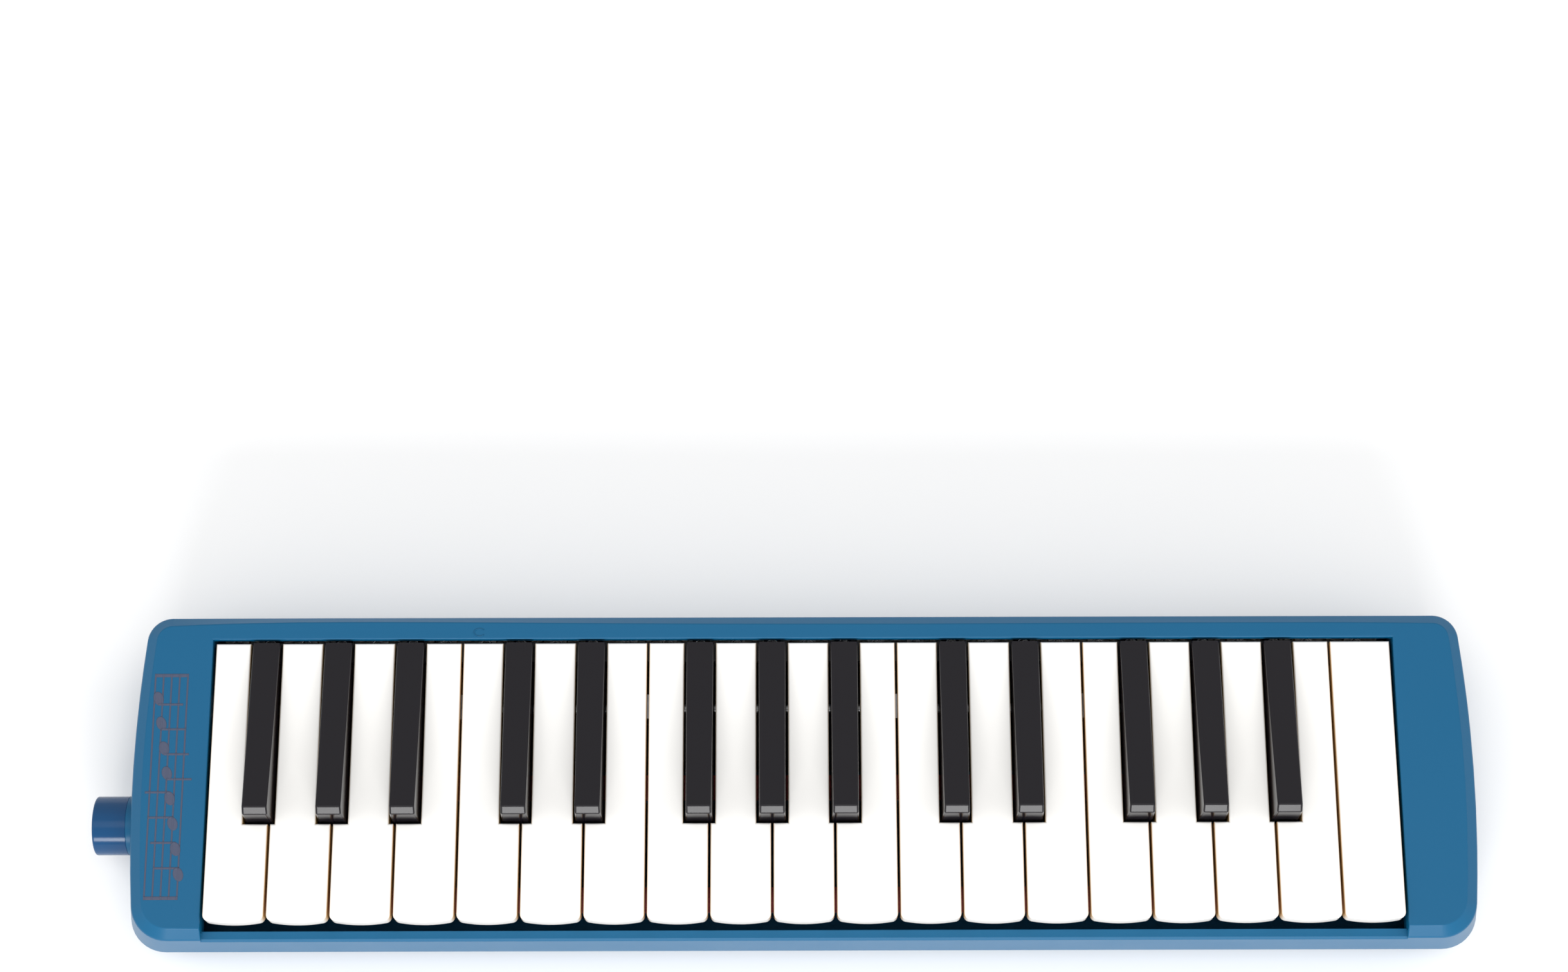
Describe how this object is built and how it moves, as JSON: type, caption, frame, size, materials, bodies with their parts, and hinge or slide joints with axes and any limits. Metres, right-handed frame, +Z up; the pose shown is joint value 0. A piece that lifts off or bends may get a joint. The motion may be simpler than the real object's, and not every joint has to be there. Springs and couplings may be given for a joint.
{
  "type": "melodica",
  "caption": "Handheld melodica: a blue two-part case with a sprung piano keyboard over a reed wind chest and a mouthpiece socket at the left end.",
  "frame": {"origin": "centre of the flat underside, under the middle of the keyboard", "axes": "+X along the keyboard from the socket end (low notes) to the high notes, +Y from the player's side to the rear, +Z up"},
  "size_m": [0.4468, 0.1091, 0.0481],
  "materials": {
    "case_blue": "satin, light grain",
    "socket_blue": "glossy",
    "white_key": "glossy",
    "black_key": "glossy",
    "white_comb": "satin",
    "dark_plastic": "matte",
    "steel": "bright",
    "spring_steel": "bright",
    "brass": "satin",
    "felt": "felt",
    "rubber": "matte"
  },
  "bodies": {
    "case": {"upper_case": "case_blue", "lower_case": "case_blue", "case_screws": "steel", "key_shaft": "steel", "shaft_brackets": "steel", "spring_bar": "dark_plastic", "key_springs": "spring_steel", "guide_comb": "white_comb", "front_felt": "felt", "middle_felt": "felt", "chest_tray": "dark_plastic", "chest_gasket": "rubber", "cell_block": "dark_plastic", "reed_plate_low": "brass", "reed_plate_high": "brass", "reeds": "spring_steel", "reed_rivets": "brass", "reed_plate_screws": "steel", "chest_screws": "steel", "inlet_box": "dark_plastic", "inlet_lid": "dark_plastic", "inlet_gasket": "rubber", "mouthpiece_socket": "socket_blue", "socket_seal": "rubber", "drain_spring": "spring_steel"},
    "key_f3": {"key_f3": "white_key"},
    "key_f_sharp_3": {"key_f_sharp_3": "black_key"},
    "key_g3": {"key_g3": "white_key"},
    "key_g_sharp_3": {"key_g_sharp_3": "black_key"},
    "key_a3": {"key_a3": "white_key"},
    "key_a_sharp_3": {"key_a_sharp_3": "black_key"},
    "key_b3": {"key_b3": "white_key"},
    "key_c4": {"key_c4": "white_key"},
    "key_c_sharp_4": {"key_c_sharp_4": "black_key"},
    "key_d4": {"key_d4": "white_key"},
    "key_d_sharp_4": {"key_d_sharp_4": "black_key"},
    "key_e4": {"key_e4": "white_key"},
    "key_f4": {"key_f4": "white_key"},
    "key_f_sharp_4": {"key_f_sharp_4": "black_key"},
    "key_g4": {"key_g4": "white_key"},
    "key_g_sharp_4": {"key_g_sharp_4": "black_key"},
    "key_a4": {"key_a4": "white_key"},
    "key_a_sharp_4": {"key_a_sharp_4": "black_key"},
    "key_b4": {"key_b4": "white_key"},
    "key_c5": {"key_c5": "white_key"},
    "key_c_sharp_5": {"key_c_sharp_5": "black_key"},
    "key_d5": {"key_d5": "white_key"},
    "key_d_sharp_5": {"key_d_sharp_5": "black_key"},
    "key_e5": {"key_e5": "white_key"},
    "key_f5": {"key_f5": "white_key"},
    "key_f_sharp_5": {"key_f_sharp_5": "black_key"},
    "key_g5": {"key_g5": "white_key"},
    "key_g_sharp_5": {"key_g_sharp_5": "black_key"},
    "key_a5": {"key_a5": "white_key"},
    "key_a_sharp_5": {"key_a_sharp_5": "black_key"},
    "key_b5": {"key_b5": "white_key"},
    "key_c6": {"key_c6": "white_key"},
    "drain_valve": {"drain_button": "dark_plastic", "drain_seal": "rubber"}
  },
  "joints": [
    {"name": "key_f3_press", "type": "hinge", "parent": "case", "child": "key_f3", "pos_m": [0, 0.024, 0.026], "axis": [1, 0, 0], "range_deg": [0, 3], "stiffness_Nm_per_rad": 0.15, "springref_deg": -14.32, "deforming": ["key_springs"]},
    {"name": "key_f_sharp_3_press", "type": "hinge", "parent": "case", "child": "key_f_sharp_3", "pos_m": [0, 0.024, 0.026], "axis": [1, 0, 0], "range_deg": [0, 4.5], "stiffness_Nm_per_rad": 0.15, "springref_deg": -14.32, "deforming": ["key_springs"]},
    {"name": "key_g3_press", "type": "hinge", "parent": "case", "child": "key_g3", "pos_m": [0, 0.024, 0.026], "axis": [1, 0, 0], "range_deg": [0, 3], "stiffness_Nm_per_rad": 0.15, "springref_deg": -14.32, "deforming": ["key_springs"]},
    {"name": "key_g_sharp_3_press", "type": "hinge", "parent": "case", "child": "key_g_sharp_3", "pos_m": [0, 0.024, 0.026], "axis": [1, 0, 0], "range_deg": [0, 4.5], "stiffness_Nm_per_rad": 0.15, "springref_deg": -14.32, "deforming": ["key_springs"]},
    {"name": "key_a3_press", "type": "hinge", "parent": "case", "child": "key_a3", "pos_m": [0, 0.024, 0.026], "axis": [1, 0, 0], "range_deg": [0, 3], "stiffness_Nm_per_rad": 0.15, "springref_deg": -14.32, "deforming": ["key_springs"]},
    {"name": "key_a_sharp_3_press", "type": "hinge", "parent": "case", "child": "key_a_sharp_3", "pos_m": [0, 0.024, 0.026], "axis": [1, 0, 0], "range_deg": [0, 4.5], "stiffness_Nm_per_rad": 0.15, "springref_deg": -14.32, "deforming": ["key_springs"]},
    {"name": "key_b3_press", "type": "hinge", "parent": "case", "child": "key_b3", "pos_m": [0, 0.024, 0.026], "axis": [1, 0, 0], "range_deg": [0, 3], "stiffness_Nm_per_rad": 0.15, "springref_deg": -14.32, "deforming": ["key_springs"]},
    {"name": "key_c4_press", "type": "hinge", "parent": "case", "child": "key_c4", "pos_m": [0, 0.024, 0.026], "axis": [1, 0, 0], "range_deg": [0, 3], "stiffness_Nm_per_rad": 0.15, "springref_deg": -14.32, "deforming": ["key_springs"]},
    {"name": "key_c_sharp_4_press", "type": "hinge", "parent": "case", "child": "key_c_sharp_4", "pos_m": [0, 0.024, 0.026], "axis": [1, 0, 0], "range_deg": [0, 4.5], "stiffness_Nm_per_rad": 0.15, "springref_deg": -14.32, "deforming": ["key_springs"]},
    {"name": "key_d4_press", "type": "hinge", "parent": "case", "child": "key_d4", "pos_m": [0, 0.024, 0.026], "axis": [1, 0, 0], "range_deg": [0, 3], "stiffness_Nm_per_rad": 0.15, "springref_deg": -14.32, "deforming": ["key_springs"]},
    {"name": "key_d_sharp_4_press", "type": "hinge", "parent": "case", "child": "key_d_sharp_4", "pos_m": [0, 0.024, 0.026], "axis": [1, 0, 0], "range_deg": [0, 4.5], "stiffness_Nm_per_rad": 0.15, "springref_deg": -14.32, "deforming": ["key_springs"]},
    {"name": "key_e4_press", "type": "hinge", "parent": "case", "child": "key_e4", "pos_m": [0, 0.024, 0.026], "axis": [1, 0, 0], "range_deg": [0, 3], "stiffness_Nm_per_rad": 0.15, "springref_deg": -14.32, "deforming": ["key_springs"]},
    {"name": "key_f4_press", "type": "hinge", "parent": "case", "child": "key_f4", "pos_m": [0, 0.024, 0.026], "axis": [1, 0, 0], "range_deg": [0, 3], "stiffness_Nm_per_rad": 0.15, "springref_deg": -14.32, "deforming": ["key_springs"]},
    {"name": "key_f_sharp_4_press", "type": "hinge", "parent": "case", "child": "key_f_sharp_4", "pos_m": [0, 0.024, 0.026], "axis": [1, 0, 0], "range_deg": [0, 4.5], "stiffness_Nm_per_rad": 0.15, "springref_deg": -14.32, "deforming": ["key_springs"]},
    {"name": "key_g4_press", "type": "hinge", "parent": "case", "child": "key_g4", "pos_m": [0, 0.024, 0.026], "axis": [1, 0, 0], "range_deg": [0, 3], "stiffness_Nm_per_rad": 0.15, "springref_deg": -14.32, "deforming": ["key_springs"]},
    {"name": "key_g_sharp_4_press", "type": "hinge", "parent": "case", "child": "key_g_sharp_4", "pos_m": [0, 0.024, 0.026], "axis": [1, 0, 0], "range_deg": [0, 4.5], "stiffness_Nm_per_rad": 0.15, "springref_deg": -14.32, "deforming": ["key_springs"]},
    {"name": "key_a4_press", "type": "hinge", "parent": "case", "child": "key_a4", "pos_m": [0, 0.024, 0.026], "axis": [1, 0, 0], "range_deg": [0, 3], "stiffness_Nm_per_rad": 0.15, "springref_deg": -14.32, "deforming": ["key_springs"]},
    {"name": "key_a_sharp_4_press", "type": "hinge", "parent": "case", "child": "key_a_sharp_4", "pos_m": [0, 0.024, 0.026], "axis": [1, 0, 0], "range_deg": [0, 4.5], "stiffness_Nm_per_rad": 0.15, "springref_deg": -14.32, "deforming": ["key_springs"]},
    {"name": "key_b4_press", "type": "hinge", "parent": "case", "child": "key_b4", "pos_m": [0, 0.024, 0.026], "axis": [1, 0, 0], "range_deg": [0, 3], "stiffness_Nm_per_rad": 0.15, "springref_deg": -14.32, "deforming": ["key_springs"]},
    {"name": "key_c5_press", "type": "hinge", "parent": "case", "child": "key_c5", "pos_m": [0, 0.024, 0.026], "axis": [1, 0, 0], "range_deg": [0, 3], "stiffness_Nm_per_rad": 0.15, "springref_deg": -14.32, "deforming": ["key_springs"]},
    {"name": "key_c_sharp_5_press", "type": "hinge", "parent": "case", "child": "key_c_sharp_5", "pos_m": [0, 0.024, 0.026], "axis": [1, 0, 0], "range_deg": [0, 4.5], "stiffness_Nm_per_rad": 0.15, "springref_deg": -14.32, "deforming": ["key_springs"]},
    {"name": "key_d5_press", "type": "hinge", "parent": "case", "child": "key_d5", "pos_m": [0, 0.024, 0.026], "axis": [1, 0, 0], "range_deg": [0, 3], "stiffness_Nm_per_rad": 0.15, "springref_deg": -14.32, "deforming": ["key_springs"]},
    {"name": "key_d_sharp_5_press", "type": "hinge", "parent": "case", "child": "key_d_sharp_5", "pos_m": [0, 0.024, 0.026], "axis": [1, 0, 0], "range_deg": [0, 4.5], "stiffness_Nm_per_rad": 0.15, "springref_deg": -14.32, "deforming": ["key_springs"]},
    {"name": "key_e5_press", "type": "hinge", "parent": "case", "child": "key_e5", "pos_m": [0, 0.024, 0.026], "axis": [1, 0, 0], "range_deg": [0, 3], "stiffness_Nm_per_rad": 0.15, "springref_deg": -14.32, "deforming": ["key_springs"]},
    {"name": "key_f5_press", "type": "hinge", "parent": "case", "child": "key_f5", "pos_m": [0, 0.024, 0.026], "axis": [1, 0, 0], "range_deg": [0, 3], "stiffness_Nm_per_rad": 0.15, "springref_deg": -14.32, "deforming": ["key_springs"]},
    {"name": "key_f_sharp_5_press", "type": "hinge", "parent": "case", "child": "key_f_sharp_5", "pos_m": [0, 0.024, 0.026], "axis": [1, 0, 0], "range_deg": [0, 4.5], "stiffness_Nm_per_rad": 0.15, "springref_deg": -14.32, "deforming": ["key_springs"]},
    {"name": "key_g5_press", "type": "hinge", "parent": "case", "child": "key_g5", "pos_m": [0, 0.024, 0.026], "axis": [1, 0, 0], "range_deg": [0, 3], "stiffness_Nm_per_rad": 0.15, "springref_deg": -14.32, "deforming": ["key_springs"]},
    {"name": "key_g_sharp_5_press", "type": "hinge", "parent": "case", "child": "key_g_sharp_5", "pos_m": [0, 0.024, 0.026], "axis": [1, 0, 0], "range_deg": [0, 4.5], "stiffness_Nm_per_rad": 0.15, "springref_deg": -14.32, "deforming": ["key_springs"]},
    {"name": "key_a5_press", "type": "hinge", "parent": "case", "child": "key_a5", "pos_m": [0, 0.024, 0.026], "axis": [1, 0, 0], "range_deg": [0, 3], "stiffness_Nm_per_rad": 0.15, "springref_deg": -14.32, "deforming": ["key_springs"]},
    {"name": "key_a_sharp_5_press", "type": "hinge", "parent": "case", "child": "key_a_sharp_5", "pos_m": [0, 0.024, 0.026], "axis": [1, 0, 0], "range_deg": [0, 4.5], "stiffness_Nm_per_rad": 0.15, "springref_deg": -14.32, "deforming": ["key_springs"]},
    {"name": "key_b5_press", "type": "hinge", "parent": "case", "child": "key_b5", "pos_m": [0, 0.024, 0.026], "axis": [1, 0, 0], "range_deg": [0, 3], "stiffness_Nm_per_rad": 0.15, "springref_deg": -14.32, "deforming": ["key_springs"]},
    {"name": "key_c6_press", "type": "hinge", "parent": "case", "child": "key_c6", "pos_m": [0, 0.024, 0.026], "axis": [1, 0, 0], "range_deg": [0, 3], "stiffness_Nm_per_rad": 0.15, "springref_deg": -14.32, "deforming": ["key_springs"]},
    {"name": "drain_press", "type": "slide", "parent": "case", "child": "drain_valve", "axis": [0, -1, 0], "range_m": [0, 0.0022], "stiffness_N_per_m": 300, "springref_m": -0.003, "deforming": ["drain_spring"]}
  ]
}
